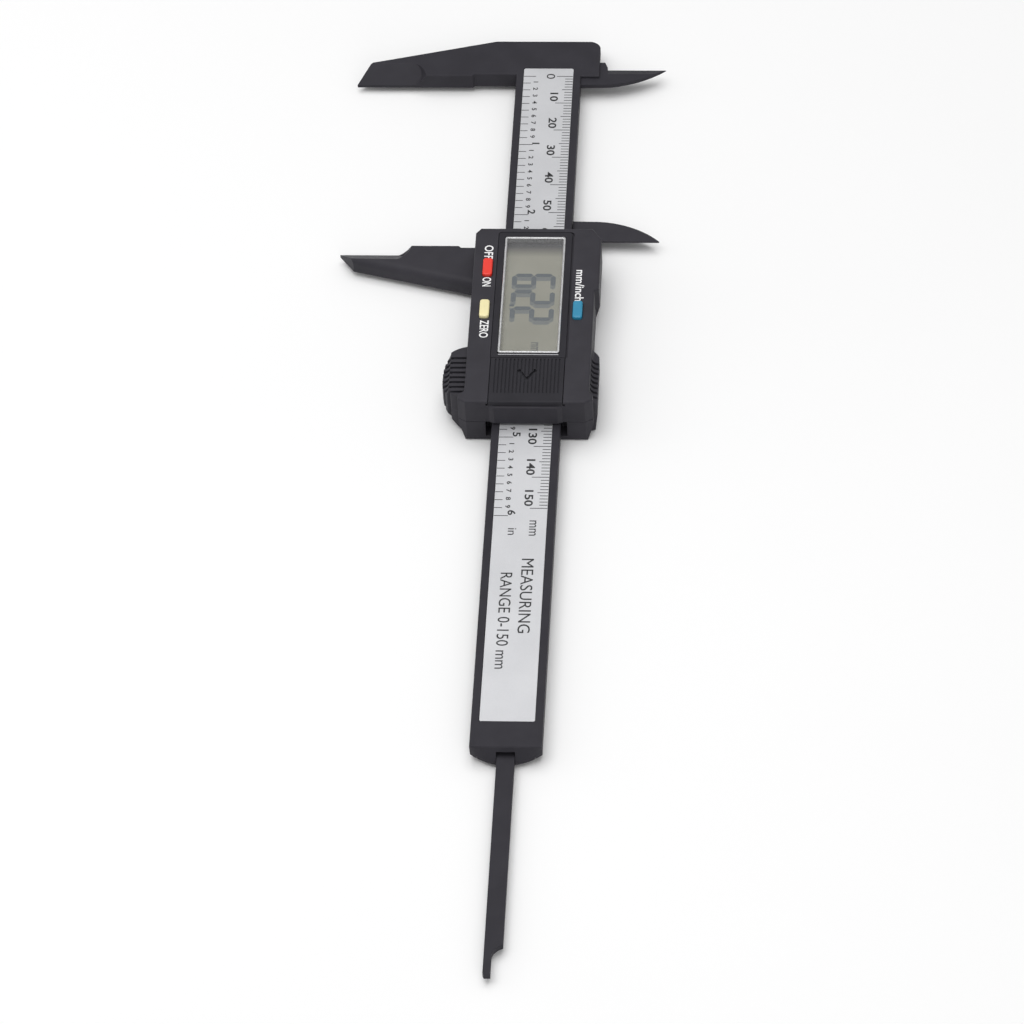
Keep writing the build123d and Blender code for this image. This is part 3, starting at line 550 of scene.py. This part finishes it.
# ---------------------------------------------------------------- printing on the slider
def print_key_labels():
    """White lettering in front of a key or behind it, placed from the key."""
    white = ink_finish("white_ink", (0.82, 0.82, 0.82))
    layer = ink_layer(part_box("display_bezel")[1].z)
    height = 2.1 * MM
    flange = 0.5 * MM        # the part of a key's length that the cover hides, at each end
    # the key, the word and its side; in millimetres, its shift in X, its gap to the key, its length
    words = (("power_button", "OFF", "front", 0.0, 0.3, 4.7),
             ("power_button", "ON", "rear", 0.0, 0.3, 3.1),
             ("zero_button", "ZERO", "rear", 0.2, 0.7, 5.9),
             ("unit_button", "mm/inch", "front", 0.2, 0.5, 10.7))
    letters = bmesh.new()
    for key, word, side, across, gap, length in words:
        low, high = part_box(key)
        if side == "front":
            spot = {"end": high.y - flange + gap * MM}
        else:
            spot = {"start": low.y + flange - gap * MM}
        base = (low.x + high.x) / 2 - height / 2 + across * MM
        add_text(letters, word, height, base, layer, length=length * MM, weight=0.012, **spot)
    finish_piece(letters, "key_lettering", white, "slider")


def draw_bezel_line():
    """A thin silver line on the bezel just behind the display's frame: a painted highlight along the edge
    there.
    """
    frame_low, frame_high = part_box("display_frame")
    layer = ink_layer(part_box("display_bezel")[1].z, 0.015 * MM)
    inset = 0.2 * MM
    near, far = 0.55 * MM, 0.75 * MM
    # painted highlight: a thin light line where the bezel's edge catches the light
    line = bmesh.new()
    add_bar(line, frame_low.x + inset, frame_high.x - inset, frame_low.y - far, frame_low.y - near, layer)
    finish_piece(line, "bezel_edge_highlight", ink_finish("bezel_highlight_ink", (0.45, 0.45, 0.47)), "slider")


# ---------------------------------------------------------------- display figures
SEGMENTS = {"2": "abged", "6": "acdefg"}
READING = "622"              # tenths of a millimetre, with a point before the last figure
FIGURE_HEIGHT = 10.4 * MM
FIGURE_WIDTH = 4.9 * MM
FIGURE_STROKE = 1.2 * MM
FIGURE_PITCH = 5.65 * MM
FIGURE_BASE = -5.1 * MM      # the x of the feet of the figures
SHADOW_SHIFT = 1.25 * MM     # how far towards -Y the figures' shadow falls on the reflector
FILM = 0.01 * MM             # how thick the figures are


def segment_outline(letter):
    """One bar of a seven-segment figure, in the figure's own width and height."""
    w, h, t = FIGURE_WIDTH, FIGURE_HEIGHT, FIGURE_STROKE
    gap = 0.12 * MM
    mid = h / 2
    if letter in "adg":
        y = {"a": h - t / 2, "d": t / 2, "g": mid}[letter]
        inner = t * 0.9
        return [(gap + t / 2, y), (inner + gap, y - t / 2), (w - inner - gap, y - t / 2),
                (w - gap - t / 2, y), (w - inner - gap, y + t / 2), (inner + gap, y + t / 2)]
    x = w - t / 2 if letter in "bc" else t / 2
    low = gap + t / 2 if letter in "ce" else mid + gap
    high = mid - gap if letter in "ce" else h - gap - t / 2
    return [(x, low), (x + t / 2, low + t / 2), (x + t / 2, high - t / 2), (x, high),
            (x - t / 2, high - t / 2), (x - t / 2, low + t / 2)]


def add_figures(build, start_y, layer):
    """Adds the figures of the reading and their point, from start_y towards -Y."""
    for place, figure in enumerate(READING):
        for letter in SEGMENTS[figure]:
            outline = [(FIGURE_BASE + v, start_y - place * FIGURE_PITCH - u)
                       for u, v in segment_outline(letter)]
            add_prism(build, outline, layer)
    point_y = start_y - (len(READING) - 1) * FIGURE_PITCH + (FIGURE_PITCH - FIGURE_WIDTH) / 2
    point_foot, point_head, half_width = -0.2 * MM, 0.9 * MM, 0.35 * MM
    add_bar(build, FIGURE_BASE + point_foot, FIGURE_BASE + point_head, point_y - half_width,
            point_y + half_width, layer)


def show_reading():
    """The jaws' distance in millimetres, over its own soft shadow, and a faint mark for the unit."""
    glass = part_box("lcd_glass")[1]
    start_y = glass.y - 12.0 * MM
    dark = ink_finish("lcd_segments", (0.054, 0.067, 0.080), 0.4)
    dim = ink_finish("lcd_shadows", (0.112, 0.122, 0.124), 0.4)
    for name, ink, lift, shift in (("display_figures", dark, 0.03 * MM, 0.0),
                                   ("figure_shadows", dim, 0.01 * MM, SHADOW_SHIFT)):
        figures = bmesh.new()
        add_figures(figures, start_y - shift, (glass.z + lift, glass.z + lift + FILM))
        finish_piece(figures, name, ink, "slider")
    faint = ink_finish("lcd_faint", (0.088, 0.094, 0.090), 0.4)
    lift = 0.02 * MM
    unit = bmesh.new()
    add_text(unit, "mm", height=1.8 * MM, base=0.35 * MM, layer=(glass.z + lift, glass.z + lift + FILM),
             start=start_y - 4.15 * FIGURE_PITCH, length=2.8 * MM, weight=NUMERAL_WEIGHT)
    finish_piece(unit, "display_unit", faint, "slider")


make_camera()
make_floor()
make_studio()
finish_nodes()
print_label()
print_key_labels()
show_reading()
draw_bezel_line()
